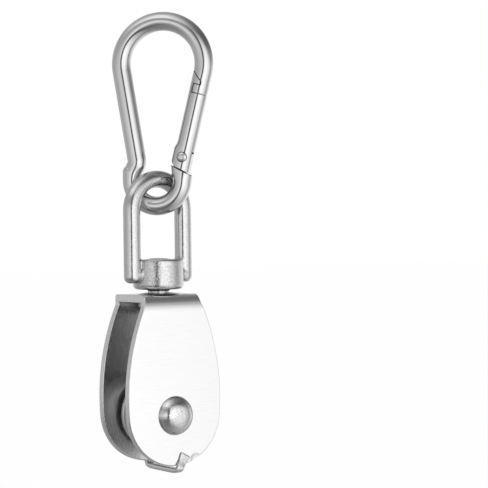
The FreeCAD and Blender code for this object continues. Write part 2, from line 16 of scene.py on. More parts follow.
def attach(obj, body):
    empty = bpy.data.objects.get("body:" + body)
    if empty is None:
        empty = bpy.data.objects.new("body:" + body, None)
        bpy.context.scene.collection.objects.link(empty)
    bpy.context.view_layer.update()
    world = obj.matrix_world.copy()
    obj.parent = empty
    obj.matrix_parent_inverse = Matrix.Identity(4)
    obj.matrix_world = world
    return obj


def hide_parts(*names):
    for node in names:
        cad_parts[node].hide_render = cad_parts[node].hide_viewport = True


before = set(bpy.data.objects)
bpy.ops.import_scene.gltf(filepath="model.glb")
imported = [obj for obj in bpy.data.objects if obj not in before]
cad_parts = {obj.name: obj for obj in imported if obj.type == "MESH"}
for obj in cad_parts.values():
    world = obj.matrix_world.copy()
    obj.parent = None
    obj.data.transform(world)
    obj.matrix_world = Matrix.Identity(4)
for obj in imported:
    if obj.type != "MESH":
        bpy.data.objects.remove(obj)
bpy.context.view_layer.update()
scene = bpy.context.scene
MM = 0.001


def node_spans(node):
    """Lowest and highest value of a CAD node along x, y and z, in mm."""
    columns = zip(*(vertex.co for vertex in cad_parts[node].data.vertices))
    return [(round(min(c) / MM, 3), round(max(c) / MM, 3)) for c in columns]


# %% [markdown]
# ## Colours and one helper for nodes
#
# Colours are written as sRGB hex values, as a colour picker shows them, and one function turns
# them to the linear values that the renderer works with. Every material is a node tree, and
# building one by hand takes many lines, so a helper adds a node, sets its inputs and links it. It
# reads the same for noise, ramps and shaders.

# %% Colour and node helpers
def linear(hex_colour):
    """sRGB hex value to linear red, green, blue and alpha."""
    parts = [int(hex_colour[i:i + 2], 16) / 255 for i in (1, 3, 5)]
    return tuple(c / 12.92 if c <= 0.04045 else ((c + 0.055) / 1.055) ** 2.4
                 for c in parts) + (1.0,)


def set_inputs(tree, node, inputs):
    """Links a value that is a socket, or a node by its first output, and sets any other."""
    for key, value in inputs.items():
        if isinstance(value, bpy.types.Node):
            value = value.outputs[0]
        if isinstance(value, bpy.types.NodeSocket):
            tree.links.new(value, node.inputs[key])
        else:
            node.inputs[key].default_value = value


def set_all(thing, settings):
    for name, value in settings.items():
        setattr(thing, name, value)
    return thing


def add_node(tree, kind, inputs=None, **settings):
    node = set_all(tree.nodes.new(kind), settings)
    set_inputs(tree, node, inputs or {})
    return node


def new_material(name):
    """A material and its node tree, which starts with a Principled BSDF and an output."""
    material = bpy.data.materials.new(name)
    material.use_nodes = True
    return material, material.node_tree


WHITE = linear("#ffffff")
print("mid grey is", round(linear("#808080")[0], 3), "linear")

# %% [markdown]
# ## Stainless steel, from one recipe
#
# Everything here is stainless, so the colour hardly changes: a slightly grey silver. What differs
# is the surface, because each way of making leaves its own marks. So every steel comes from one
# recipe: a metal with a mottled roughness and two bump patterns, one broad and one fine, each
# with its real size in millimetres. The fine one also mixes a duller tone into the colour.

# %% The steel recipe
NOISE_ROUGHNESS = 0.55  # how strong each finer layer of a noise is beside the one before


def steel(name, colour, dull, gloss, mottle, broad, fine, along=False):
    """Stainless steel. gloss and mottle are roughness and its spread. broad and fine are bumps,
    each (size in mm, height in mm, stretch in x, y and z). With along, x runs along the wire."""
    material, tree = new_material(name)
    if along:
        where = add_node(tree, "ShaderNodeAttribute", attribute_name="wire_space").outputs["Vector"]
    else:
        where = add_node(tree, "ShaderNodeTexCoord").outputs["Object"]
    noises = []
    for (size_mm, _, stretch), detail in ((broad, 3.0), (fine, 4.0)):
        scale = tuple(1.0 / (size_mm * MM * factor) for factor in stretch)
        mapped = add_node(tree, "ShaderNodeMapping", {"Vector": where, "Scale": scale})
        noise = add_node(tree, "ShaderNodeTexNoise", {
            "Vector": mapped, "Scale": 1.0, "Detail": detail, "Roughness": NOISE_ROUGHNESS})
        noises.append(noise)
    soft, sharp = noises
    rough = add_node(tree, "ShaderNodeMapRange", {
        "Value": soft, "From Min": 0.3, "From Max": 0.7, "To Min": gloss - mottle,
        "To Max": gloss + mottle})
    tone = add_node(tree, "ShaderNodeMapRange", {
        "Value": sharp, "From Min": 0.35, "From Max": 0.65})
    tint = add_node(tree, "ShaderNodeMix", {
        0: tone, 6: linear(dull), 7: linear(colour)}, data_type="RGBA")
    first = add_node(tree, "ShaderNodeBump", {
        "Height": soft, "Distance": broad[1] * MM, "Strength": 1.0})
    second = add_node(tree, "ShaderNodeBump", {
        "Height": sharp, "Distance": fine[1] * MM, "Strength": 1.0, "Normal": first})
    set_inputs(tree, tree.nodes["Principled BSDF"], {
        "Metallic": 1.0, "Base Color": tint.outputs[2], "Roughness": rough, "Normal": second})
    return material


print("recipe ready")

# %% [markdown]
# Real drawing lines, belt streaks and saw scratches are a few hundredths of a millimetre wide. The
# fine patterns here of 0.15 mm or less are drawn coarser than that, so that they show.

# %% The steels
EVEN = (1, 1, 1)
# Drawn through a die and tumbled: almost a mirror, with faint lines that follow the bends.
wire_steel = steel("polished stainless wire", "#cbcbcb", "#c2c2c2", 0.11, 0.03,
                   (1.6, 0.006, (4, 1, 1)), (0.12, 0.0006, (30, 1, 1)), along=True)
# The mould's orange peel under a tumbled gloss: reflections wobble, and no line is quite straight.
cast_steel = steel("tumbled cast stainless", "#cacaca", "#b8b8b8", 0.13, 0.04,
                   (0.9, 0.020, EVEN), (0.26, 0.007, EVEN))
# The same casting where tumbling left the mould's grain: reflections break up into specks.
grainy_steel = steel("cast stainless with grain left", "#cccccc", "#b0b0b0", 0.14, 0.05,
                     (0.9, 0.045, EVEN), (0.30, 0.042, EVEN))
# Rolled and belt-polished: a wide clean mirror with a breath of streaks across the cheek.
sheet_steel = steel("polished stainless sheet", "#e4e4e4", "#e0e0e0", 0.15, 0.02,
                    (3.0, 0.0022, (4, 1, 1)), (0.12, 0.0004, (30, 1, 1)))
# The sheet's inside, as the mill left it: satin, so it shows only soft bands of light and dark.
mill_steel = steel("stainless sheet as rolled", "#cccccc", "#b6b6b6", 0.26, 0.06,
                   (1.8, 0.02, (1, 1, 3)), (0.15, 0.003, (1, 1, 8)))
# Sheared by the blanking press, then filed: a pale, slightly uneven band round every edge.
sheared_steel = steel("sheared edge of stainless sheet", "#dedede", "#c8c8c8", 0.22, 0.06,
                      (0.7, 0.02, EVEN), (0.22, 0.012, EVEN))
# A wheel that nobody polished: pale and matt, with no clear reflection at all.
matt_steel = steel("turned stainless, left matt", "#e0e0e0", "#d2d2d2", 0.48, 0.04,
                   (1.2, 0.006, EVEN), (0.2, 0.002, EVEN))
# Small parts off a lathe: a soft glint rather than a mirror.
turned_steel = steel("turned stainless bar", "#cecece", "#bfbfbf", 0.22, 0.05,
                     (0.8, 0.012, EVEN), (0.16, 0.003, EVEN))
# Squeezed or hammered: glossy, but its glints wander over small bruises.
pressed_steel = steel("stainless rivet closed by a press", "#dadada", "#bcbcbc", 0.15, 0.05,
                      (1.1, 0.05, EVEN), (0.24, 0.014, EVEN))
# Hard spring wire, never polished: even and grey.
spring_steel = steel("drawn spring wire", "#b8b8b8", "#a4a4a4", 0.28, 0.05,
                     (0.3, 0.002, EVEN), (0.08, 0.0004, EVEN))
# Sawn, where no polishing wheel reaches: dull. Its darker colour is painted shade, so that it
# draws the joints as fine dark lines.
sawn_steel_painted_shade = steel("sawn stainless with painted shade", "#868686", "#6a6a6a", 0.42, 0.05,
                   (0.4, 0.006, EVEN), (0.1, 0.002, (1, 6, 1)))
print("materials:", [m.name for m in bpy.data.materials])

# %% [markdown]
# ## From rough mesh to finished piece
#
# A mirror finish shows every mistake in the normals. Three habits keep it clean. Curved surfaces
# get many narrow faces and smooth shading. Edges sharper than a limit are marked sharp, so that
# shading doesn't smear round a corner. And flat faces weigh more than the thin bevels beside
# them, which is what the Weighted Normal modifier does. Modifiers are then baked into plain mesh.
#
# Pieces are built in millimetres, and place() takes them to the model's metres once they are done.

# %% Mesh helpers
MERGE_MM = 0.0004  # points closer than this are one, in a mesh that is still in mm
MERGE_M = 1e-7  # the same for a mesh that is already in metres


def add_object(name, data):
    obj = bpy.data.objects.new(name, data)
    scene.collection.objects.link(obj)
    return obj


def mesh_object(name, vertices, faces, edges=()):
    mesh = bpy.data.meshes.new(name)
    mesh.from_pydata([tuple(v) for v in vertices], list(edges), faces)
    mesh.update()
    return add_object(name, mesh)


def modify(obj, kind, **settings):
    return set_all(obj.modifiers.new(kind, kind), settings)


def bake(obj):
    """Replaces the object's mesh by what its modifiers make, and removes them."""
    graph = bpy.context.evaluated_depsgraph_get()
    mesh = bpy.data.meshes.new_from_object(obj.evaluated_get(graph), depsgraph=graph)
    obj.modifiers.clear()
    obj.data = mesh
    return obj


def place(obj, matrix=Matrix()):
    """Moves the mesh itself, from the piece's own frame in mm to the model's in metres."""
    obj.data.transform(Matrix.Scale(MM, 4) @ matrix)
    return obj


def give_materials(obj, materials):
    obj.data.materials.clear()
    for material in materials:
        obj.data.materials.append(material)


def cut(obj, tool, operation="DIFFERENCE"):
    """Cuts the object with a tool, or joins the two, and removes the tool. The new faces take
    over the tool's material."""
    modify(obj, "BOOLEAN", object=tool, operation=operation, solver="EXACT",
           material_mode="TRANSFER")
    bake(obj)
    bpy.data.objects.remove(tool)
    return obj


def tidy(obj, sharp_angle=38, merge=MERGE_MM):
    """Merges doubles, turns normals outwards, and marks the sharp edges."""
    work = bmesh.new()
    work.from_mesh(obj.data)
    bmesh.ops.remove_doubles(work, verts=work.verts, dist=merge)
    bmesh.ops.dissolve_degenerate(work, dist=merge / 4, edges=work.edges)
    bmesh.ops.recalc_face_normals(work, faces=work.faces)
    for face in work.faces:
        face.smooth = True
    limit = math.radians(sharp_angle)
    for edge in work.edges:
        edge.smooth = len(edge.link_faces) == 2 and edge.calc_face_angle(0) < limit
    work.to_mesh(obj.data)
    work.free()
    return obj


print("mesh helpers ready")

# %% The last steps of every piece
def finish_piece(obj, body, materials, nodes, weighted=True):
    """Weighted normals, the materials, and the body that the piece rides on. Booleans leave empty
    slots and change their order, so each face finds its material again by name."""
    if weighted:
        modify(obj, "WEIGHTED_NORMAL", keep_sharp=True)
        bake(obj)
    names = [m.name if m else "" for m in obj.data.materials]
    places = [names.index(m.name) if m.name in names else -1 for m in materials]
    kept = [places.index(face.material_index) if face.material_index in places else 0
            for face in obj.data.polygons]
    give_materials(obj, materials)
    obj.data.polygons.foreach_set("material_index", kept)
    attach(obj, body)
    if nodes:
        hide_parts(*nodes)
    obj.data.calc_loop_triangles()
    print(f"{obj.name}: {len(obj.data.loop_triangles)} triangles")


# %% [markdown]
# ## Flat and turned shapes
#
# Two kinds of body make up nearly everything. A prism is an outline pushed through to a depth,
# as in sheet work. A lathe carries a profile of (radius, height) points round an axis, as for
# the wheel, the rivets and the swivel pin. Small arcs in a profile stand for the broken edges
# that a turner always leaves.

# %% Prism, arc and lathe
def turned(degrees, axis):
    return Matrix.Rotation(math.radians(degrees), 4, axis)


def prism(name, outline, depth):
    """Solid across Y = 0 from an (x, z) outline."""
    count = len(outline)
    vertices = [(x, y, z) for y in (-depth / 2, depth / 2) for x, z in outline]
    faces = [tuple(range(count)), tuple(range(2 * count - 1, count - 1, -1))]
    faces += [(i, i + count, (i + 1) % count + count, (i + 1) % count) for i in range(count)]
    return tidy(mesh_object(name, vertices, faces))


def arc_points(centre, radius, start, end, steps):
    """Points on an arc, with angles in degrees, or the centre alone for no steps."""
    if steps == 0:
        return [centre]
    angles = [math.radians(start + (end - start) * i / steps) for i in range(steps + 1)]
    return [(centre[0] + radius * math.cos(a), centre[1] + radius * math.sin(a)) for a in angles]


def lathe(name, profile, sides=128, axis="Z"):
    """Closed body from a profile in (radius, height); points on the axis become poles. Height
    runs along Z, or along -Y, towards the camera's side of the block."""
    vertices, rings = [], []
    for radius, height in profile:
        if radius < 1e-6:
            rings.append([len(vertices)] * sides)
            vertices.append((0, 0, height))
        else:
            rings.append(list(range(len(vertices), len(vertices) + sides)))
            vertices += [(x, y, height)
                         for x, y in arc_points((0, 0), radius, 0, 360, sides)[:-1]]
    faces = []
    closed = profile[0][0] > 1e-6
    pairs = list(zip(rings, rings[1:])) + ([(rings[-1], rings[0])] if closed else [])
    for low, high in pairs:
        for i in range(sides):
            j = (i + 1) % sides
            corners = [low[i], low[j], high[j], high[i]]
            face = [c for k, c in enumerate(corners) if c not in corners[:k]]
            if len(face) > 2:
                faces.append(tuple(face))
    obj = mesh_object(name, vertices, faces)
    if axis == "-Y":
        obj.data.transform(turned(90, "X"))
    return tidy(obj)


def rod(name, radius, low, high, sides=64, axis="Z"):
    return lathe(name, [(0, low), (radius, low), (radius, high), (0, high)], sides, axis)


def rounded(points, radii, steps=5):
    """Profile through corner points, each rounded by its radius."""
    result = []
    for i, (point, radius) in enumerate(zip(points, radii)):
        p = Vector(point)
        if radius == 0 or i in (0, len(points) - 1):
            result.append(tuple(p))
            continue
        before = (Vector(points[i - 1]) - p).normalized()
        after = (Vector(points[i + 1]) - p).normalized()
        half = before.angle(after) / 2
        reach = radius / math.tan(half)
        centre = p + (before + after).normalized() * (radius / math.sin(half))
        first, last = p + before * reach - centre, p + after * reach - centre
        turn = first.angle_signed(last)
        for k in range(steps + 1):
            spoke = first.copy()
            spoke.rotate(Matrix.Rotation(-turn * k / steps, 2))
            result.append(tuple(centre + spoke))
    return result


print("a corner of 1 mm becomes", len(rounded([(0, 0), (3, 0), (3, 3)], [0, 1, 0])) - 2, "points")

# %% [markdown]
# ## The camera
#
# The block hangs a little left of the middle, seen from the front left and level with the lower
# part of its hook. A long lens keeps the cheeks almost parallel. Its place was worked out from
# points of the object that are easy to find, such as the ends of the gate and the rivet head.

# %% Camera
def camera_turn(azimuth, elevation, roll):
    """Right, up and back of a camera, as in the views: azimuth 0 looks along +Y."""
    a, e, r = (math.radians(v) for v in (azimuth, elevation, roll))
    back = Vector((math.sin(a) * math.cos(e), -math.cos(a) * math.cos(e), math.sin(e)))
    right = Vector((0, 0, 1)).cross(back).normalized()
    up = back.cross(right)
    return right * math.cos(r) + up * math.sin(r), up * math.cos(r) - right * math.sin(r), back


PICTURE_PIXELS, FOCAL_PIXELS, SENSOR_MM = 488, 1747.4, 36.0
AIM_AZIMUTH, AIM_ELEVATION, AIM_ROLL = -33.55, 0.58, -0.73
STAND_AZIMUTH = -30  # from where the three distances below are measured, in mm
STAND_RIGHT, STAND_BACK, STAND_HIGH = -4.4, 345.8, 36.76

camera_data = bpy.data.cameras.new("camera")
camera_data.sensor_width = SENSOR_MM
camera_data.lens = FOCAL_PIXELS / PICTURE_PIXELS * SENSOR_MM
camera = add_object("camera", camera_data)
stand_right, _, stand_back = camera_turn(STAND_AZIMUTH, 0, 0)
spot = stand_right * STAND_RIGHT + stand_back * STAND_BACK
spot.z = STAND_HIGH
axes = Matrix(camera_turn(AIM_AZIMUTH, AIM_ELEVATION, AIM_ROLL)).transposed()
camera.matrix_world = Matrix.Translation(spot * MM) @ axes.to_4x4()
camera_data.clip_start = 0.01
scene.camera = camera
print("lens", round(camera_data.lens, 1), "mm at", round(spot.length), "mm")

# %% [markdown]
# ## A studio for a mirror
#
# Polished metal has almost no look of its own: it shows the room. Product photographers build the
# room to suit, so this one is a light tent. It is a sphere of cloth round the object that the
# camera doesn't see. Its brightness is written on its points, row by row: one big soft light to
# the right of the camera, a narrow dark gap beside it that draws a thin line down every wire,
# paler cloth on the left, and black cloth high on the right that keeps the folds dark.

# %% Directions and brightness
VIEW_AZIMUTH = -30.7  # direction from the block to the camera


def toward(azimuth, elevation):
    """Direction seen from the object; azimuth grows to the right of the picture."""
    return camera_turn(VIEW_AZIMUTH + azimuth, elevation, 0)[2]


def blend(stops, value):
    """Straight lines between (place, level) stops."""
    for (a, low), (b, high) in zip(stops, stops[1:]):
        if value <= b:
            return low + (high - low) * (value - a) / (b - a)
    return stops[-1][1]


# Each row is an elevation with its (azimuth, brightness) stops, in degrees from the camera.
EYE_LEVEL = [(-180, 0.75), (-132, 0.60), (-119, 0.75), (-105, 0.62), (-89, 0.60), (-60, 0.82),
             (-42, 1.0), (-28, 1.2), (-14, 1.25), (-12, 0.13), (2, 0.13), (4, 1.4), (10, 1.74),
             (28, 1.76), (45, 1.6), (61, 1.26), (72, 1.15), (84, 0.66), (99, 0.58), (119, 1.0),
             (147, 1.25), (180, 0.75)]
TENT_ROWS = [
    (-90, [(-180, 0.38), (180, 0.38)]),
    (-55, [(-180, 0.42), (-60, 0.35), (-20, 0.25), (10, 0.35), (60, 0.7), (110, 0.7),
           (180, 0.42)]),
    (-30, [(-180, 0.5), (-100, 0.42), (-50, 0.34), (-14, 0.18), (3, 0.22), (10, 0.8), (40, 1.05),
           (66, 1.05), (84, 0.6), (100, 0.7), (140, 1.1), (180, 0.5)]),
    (-14, [(-180, 0.7), (-100, 0.5), (-50, 0.65), (-14, 0.65), (-12, 0.13), (2, 0.13), (4, 1.2),
           (28, 1.66), (45, 1.54), (61, 1.3), (72, 1.15), (84, 0.65), (99, 0.65), (119, 1.25),
           (147, 1.35), (180, 0.7)]),
    (-8, EYE_LEVEL),
    (4, EYE_LEVEL),
    (14, [(-180, 0.65), (-89, 0.6), (-42, 0.75), (-14, 0.65), (-12, 0.15), (2, 0.15), (5, 1.35),
          (28, 1.68), (45, 1.45), (61, 0.98), (75, 0.72), (84, 0.42), (99, 0.38), (119, 0.55),
          (147, 0.8), (180, 0.65)]),
    (22, [(-180, 0.6), (-60, 0.6), (-30, 0.45), (-14, 0.42), (-12, 0.17), (2, 0.17), (5, 1.2),
          (28, 1.45), (45, 1.15), (61, 0.70), (80, 0.38), (130, 0.3), (160, 0.6), (180, 0.6)]),
    (33, [(-180, 0.55), (-100, 0.55), (-60, 0.65), (-30, 0.5), (-14, 0.5), (-12, 0.2), (2, 0.2),
          (7, 0.85), (30, 0.85), (45, 0.5), (61, 0.22), (90, 0.18), (130, 0.18), (160, 0.5),
          (180, 0.55)]),
    (46, [(-180, 0.6), (-100, 0.7), (-60, 1.3), (-30, 1.5), (-5, 0.9), (15, 0.4), (45, 0.2),
          (61, 0.16), (130, 0.16), (165, 0.4), (180, 0.6)]),
    (70, [(-180, 0.5), (-149, 0.5), (-88, 0.8), (-50, 1.4), (0, 0.9), (60, 0.3), (120, 0.3),
          (180, 0.5)]),
    (90, [(-180, 0.65), (180, 0.65)]),
]


def tent_level(azimuth, elevation):
    return blend([(row, blend(stops, azimuth)) for row, stops in TENT_ROWS], elevation)


print("brightness behind the camera:", round(tent_level(0, 0), 2),
      "in the soft light:", round(tent_level(30, 0), 2))

# %% Tent
TENT_MIDDLE, TENT_R, TENT_STEP = Vector((0, 0, 0.034)), 0.5, 3  # metres, and degrees apart
FLOOR_Z, TENT_LIFT = -0.055, 0.003  # the tent's bottom is that much above the floor


def light_tent():
    """Sphere of cloth, pressed flat just above the floor."""
    columns, rows = range(-180, 180, TENT_STEP), range(-90, 91, TENT_STEP)
    count = len(columns)
    depth = TENT_MIDDLE.z - FLOOR_Z - TENT_LIFT
    vertices = []
    for e in rows:
        down = max(math.sin(math.radians(-e)), 1e-6)
        vertices += [TENT_MIDDLE + toward(a, e) * min(TENT_R, depth / down) for a in columns]
    faces = [(k * count + i, k * count + (i + 1) % count,
              (k + 1) * count + (i + 1) % count, (k + 1) * count + i)
             for k in range(len(rows) - 1) for i in range(count)]
    tent = mesh_object("light_tent", vertices, faces)
    level = tent.data.attributes.new("level", "FLOAT", "POINT")
    for item, value in zip(level.data, [tent_level(a, e) for e in rows for a in columns]):
        item.value = value
    cloth, tree = new_material("tent cloth")
    tree.nodes.clear()
    written = add_node(tree, "ShaderNodeAttribute", attribute_name="level")
    glow = add_node(tree, "ShaderNodeEmission", {
        "Color": WHITE, "Strength": written.outputs["Fac"]})
    add_node(tree, "ShaderNodeOutputMaterial", {"Surface": glow})
    give_materials(tent, [cloth])
    tent.visible_camera = False
    tent.visible_diffuse = False
    tent.visible_shadow = False
    return tent


light_tent()
print("tent in place")

# %% [markdown]
# The world outside the tent is white where it is seen, directly or mirrored, and dimmer as the
# soft light that falls on matt surfaces, so that the floor keeps a shadow.

# %% World
SEEN_WORLD, SOFT_LIGHT = 1.0, 0.6


def seen_rays(tree):
    """1 for what the camera sees, directly or mirrored, and 0 for soft light."""
    rays = add_node(tree, "ShaderNodeLightPath")
    return add_node(tree, "ShaderNodeMath", {
        0: rays.outputs["Is Camera Ray"], 1: rays.outputs["Is Glossy Ray"]}, operation="MAXIMUM")


world = bpy.data.worlds.new("studio")
scene.world = world
world.use_nodes = True
tree = world.node_tree
tree.nodes.clear()
dim = add_node(tree, "ShaderNodeBackground", {"Color": WHITE, "Strength": SOFT_LIGHT})
bright = add_node(tree, "ShaderNodeBackground", {"Color": WHITE, "Strength": SEEN_WORLD})
both = add_node(tree, "ShaderNodeMixShader", {0: seen_rays(tree), 1: dim, 2: bright})
add_node(tree, "ShaderNodeOutputWorld", {"Surface": both})
scene.view_settings.view_transform = "Standard"
print("soft light at", SOFT_LIGHT, "of white")

# %% [markdown]
# ## The snap hook
#
# The hook is one length of 3.7 mm wire: a bow, a back limb with a joggle, and a loop that holds
# the eye. Geometry Nodes suit it well, because the shape follows a path. The path is a few
# straight lines with a bend radius at each corner, which is how a wire bender sees it. The tree
# rounds the corners, sweeps a circle along the line, and stores where each point lies along the
# wire, so that the drawing marks can follow the bends.

# %% Wire, as a node tree
def wire_tree():
    tree = bpy.data.node_groups.new("bent wire", "GeometryNodeTree")
    store, read = "GeometryNodeStoreNamedAttribute", "GeometryNodeInputNamedAttribute"
    face = tree.interface
    for name, kind in (("Geometry", "Geometry"), ("Wire Radius", "Float"), ("Steps", "Int"),
                       ("Sides", "Int"), ("Material", "Material")):
        face.new_socket(name, in_out="INPUT", socket_type="NodeSocket" + kind)
    face.new_socket("Geometry", in_out="OUTPUT", socket_type="NodeSocketGeometry")
    given = add_node(tree, "NodeGroupInput")
    bend = add_node(tree, read, {"Name": "bend"}, data_type="FLOAT")
    path = add_node(tree, "GeometryNodeMeshToCurve", {"Mesh": given.outputs["Geometry"]})
    fillet = add_node(tree, "GeometryNodeFilletCurve", {
        "Curve": path, "Radius": bend.outputs["Attribute"], "Count": given.outputs["Steps"],
        "Limit Radius": False}, mode="POLY")
    length = add_node(tree, "GeometryNodeSplineParameter")
    marked = add_node(tree, store, {
        "Geometry": fillet, "Name": "along",
        "Value": length.outputs["Length"]}, data_type="FLOAT", domain="POINT")
    circle = add_node(tree, "GeometryNodeCurvePrimitiveCircle", {
        "Resolution": given.outputs["Sides"],
        "Radius": given.outputs["Wire Radius"]}, mode="RADIUS")
    around = add_node(tree, "GeometryNodeInputPosition")
    ring = add_node(tree, store, {
        "Geometry": circle, "Name": "around",
        "Value": around}, data_type="FLOAT_VECTOR", domain="POINT")
    swept = add_node(tree, "GeometryNodeCurveToMesh", {
        "Curve": marked, "Profile Curve": ring, "Fill Caps": True})
    read_along = add_node(tree, read, {"Name": "along"}, data_type="FLOAT")
    read_around = add_node(tree, read, {"Name": "around"}, data_type="FLOAT_VECTOR")
    split = add_node(tree, "ShaderNodeSeparateXYZ", {0: read_around.outputs["Attribute"]})
    together = add_node(tree, "ShaderNodeCombineXYZ", {
        0: read_along.outputs["Attribute"], 1: split.outputs[0], 2: split.outputs[1]})
    scaled = add_node(tree, "ShaderNodeVectorMath", {0: together, "Scale": MM}, operation="SCALE")
    stored = add_node(tree, store, {
        "Geometry": swept, "Name": "wire_space",
        "Value": scaled}, data_type="FLOAT_VECTOR", domain="POINT")
    real = add_node(tree, "GeometryNodeRealizeInstances", {"Geometry": stored})
    shaded = add_node(tree, "GeometryNodeSetMaterial", {
        "Geometry": real, "Material": given.outputs["Material"]})
    add_node(tree, "NodeGroupOutput", {"Geometry": shaded})
    return tree


WIRE_TREE = wire_tree()
BEND_STEPS, WIRE_SIDES = 40, 96


def wire(name, corners, bends, radius):
    """Round wire through (x, z) corner points, in the XZ plane of its own frame, in mm."""
    obj = mesh_object(name, [(x, 0, z) for x, z in corners], [],
                      [(i, i + 1) for i in range(len(corners) - 1)])
    attribute = obj.data.attributes.new("bend", "FLOAT", "POINT")
    for item, value in zip(attribute.data, bends):
        item.value = value
    modifier = modify(obj, "NODES", node_group=WIRE_TREE)
    values = {"Wire Radius": radius, "Steps": BEND_STEPS, "Sides": WIRE_SIDES,
              "Material": wire_steel}
    for item in WIRE_TREE.interface.items_tree:
        if item.in_out == "INPUT" and item.name in values:
            modifier[item.identifier] = values[item.name]
    return tidy(bake(obj))


print("wire tree of", len(WIRE_TREE.nodes), "nodes")

# %% Sizes of the hook, in mm and degrees
WIRE_R = 1.85
EYE_WIRE_R, LINK_GAP = 1.7, 0.37  # the eye's legs, and the room beside one
LOOP_C, LOOP_R = Vector((0, 46.1)), 5.1  # the lower loop's middle and bend
BOW_C, BOW_R = Vector((1.4, 69.0)), 8.4
LIMB_LEAN, LEAD_LEAN, JOGGLE_R = 9.2, 27.0, 2.2  # back limb, and its lead into the loop
GATE_LEAN, GATE_L = 13.85, 12.8  # gate, from its pivot to the upper joint
PIVOT_RISE = 4.4  # of the pivot above the loop's middle
LOWER_JOINT, JOINT_SLOPE = 2.2, 28.0  # below the pivot
UPPER_GAP, LOWER_GAP = 0.26, 0.34  # the open width of each joint
NECK_W, HEAD_W = 0.8, 2.25  # latch, from the gate's inner side
HEAD_RISE, CREST_RISE, CREST_SLOPE = 1.85, 2.3, 41.5  # latch, above the upper joint
SLOT_GAP = 0.2  # round the latch, in the nose
TAIL_IN, TAIL_OUT = 1.0, 0.35  # how much wider the tail is pressed
SHOULDER_RISE = 3.0  # shoulder of the lead above the loop
EYE_YAW = 5.0  # turn of the eye about the vertical
HOOK_YAW = EYE_YAW - math.degrees(math.asin((WIRE_R + EYE_WIRE_R + LINK_GAP) / LOOP_R))


def on_circle(centre, radius, angle):
    return centre + Vector((math.cos(math.radians(angle)), math.sin(math.radians(angle)))) * radius


def lean(angle):
    """Upward direction that leans to the right by an angle."""
    return Vector((math.sin(math.radians(angle)), math.cos(math.radians(angle))))


def meet(p, along_p, q, along_q):
    """Point where two lines cross."""
    gap = q - p
    return p + along_p * (gap.cross(along_q) / along_p.cross(along_q))


def around_bend(centre, radius, start, end, parts):
    """Corners of the tangent lines round an arc, for wires that bend past a half turn."""
    step = (end - start) / parts
    reach = radius / math.cos(math.radians(step / 2))
    return [on_circle(centre, reach, start + step * (i + 0.5)) for i in range(parts)]


nose_top = on_circle(BOW_C, BOW_R, -GATE_LEAN)
gate_up = lean(GATE_LEAN)
pivot = nose_top - gate_up * ((nose_top.y - LOOP_C.y - PIVOT_RISE) / gate_up.y)
yaw = turned(HOOK_YAW, "Z")
gate_frame = yaw @ Matrix.Translation((pivot.x, 0, pivot.y)) @ turned(GATE_LEAN, "Y")
print("pivot at", [round(c, 2) for c in gate_frame.translation])

# %% Bend the hook
limb_top = on_circle(BOW_C, BOW_R, 180 + LIMB_LEAN)
lead_end = on_circle(LOOP_C, LOOP_R, 180 - LEAD_LEAN)
knee = meet(limb_top, -lean(-LIMB_LEAN), lead_end, lean(LEAD_LEAN))
to_pivot = pivot - LOOP_C
tail_angle = math.degrees(math.atan2(to_pivot.y, to_pivot.x) - math.acos(LOOP_R / to_pivot.length))
corners = [pivot + gate_up * (GATE_L + UPPER_GAP / 2)]
corners += around_bend(BOW_C, BOW_R, -GATE_LEAN, 180 + LIMB_LEAN, 3)
corners += [knee]
corners += around_bend(LOOP_C, LOOP_R, 180 - LEAD_LEAN, 360 + tail_angle, 3)
tail_start = on_circle(LOOP_C, LOOP_R, tail_angle)
tail_l = (pivot - tail_start).length
tail_way = (pivot - tail_start) / tail_l
TAIL_STEPS = 12  # rings of points along the tail, for the press to push
corners += [tail_start + tail_way * tail_l * (i + 0.5) / TAIL_STEPS for i in range(TAIL_STEPS)]
corners += [pivot]
bends = [0] + [BOW_R] * 3 + [JOGGLE_R] + [LOOP_R] * 3 + [0] * (TAIL_STEPS + 1)
hook = wire("snap_hook", corners, bends, WIRE_R)
print("hook of", len(hook.data.polygons), "faces before cutting")

# %% [markdown]
# ### Cutting the nose and the tail
#
# The gate's latch hooks into a slot in the nose, and the tail is cut on a slope where the gate
# starts. Booleans do this as the saw did, and their tools carry a darker, duller steel: the saw
# leaves fine scratches in there and the polishing wheel never reaches them, and the darker colour
# is painted shade for the deep gaps. The tail is pressed a little wider, which is a gentle push on
# the points near its end, and a stub of straight rod makes the shoulder that the press leaves where
# the wire comes into the loop.

# %% Cutting tools
THROUGH = 24  # depth of a tool that goes right through


def in_gate_frame(obj):
    return place(obj, gate_frame)


def slope_box(name, distance, side):
    """Block above (1) or below (-1) the sloping cut under the pivot."""
    low, high = (-distance, 3) if side > 0 else (-8, -distance)
    obj = prism(name, [(-4.4, low), (4.4, low), (4.4, high), (-4.4, high)], THROUGH)
    obj.data.transform(turned(JOINT_SLOPE - GATE_LEAN, "Y"))
    return in_gate_frame(obj)


def latch_outline(gap, low, inner=-WIRE_R - 1.0):
    """Outline of the gate's latch, a neck under a wider head, grown by a gap. low is its foot,
    and inner is where it ends towards the hook's middle."""
    neck = -WIRE_R + NECK_W + gap
    head = -WIRE_R + HEAD_W + gap
    shoulder = GATE_L + HEAD_RISE - gap
    slope = math.radians(CREST_SLOPE)
    corner = GATE_L + CREST_RISE + gap / math.cos(slope) - gap * math.tan(slope)
    crest = corner + (head - inner) * math.tan(slope)
    return [(inner, low), (neck, low), (neck, shoulder), (head, shoulder), (head, corner),
            (inner, crest)]


def smooth_step(value):
    value = min(max(value, 0.0), 1.0)
    return value * value * (3 - 2 * value)


def saw(tool):
    """Gives a cutting tool the sawn steel with painted shade, which the cut then takes over."""
    give_materials(tool, [sawn_steel_painted_shade])
    return tool


print("latch head", round(HEAD_W - NECK_W, 2), "mm wider than its neck")

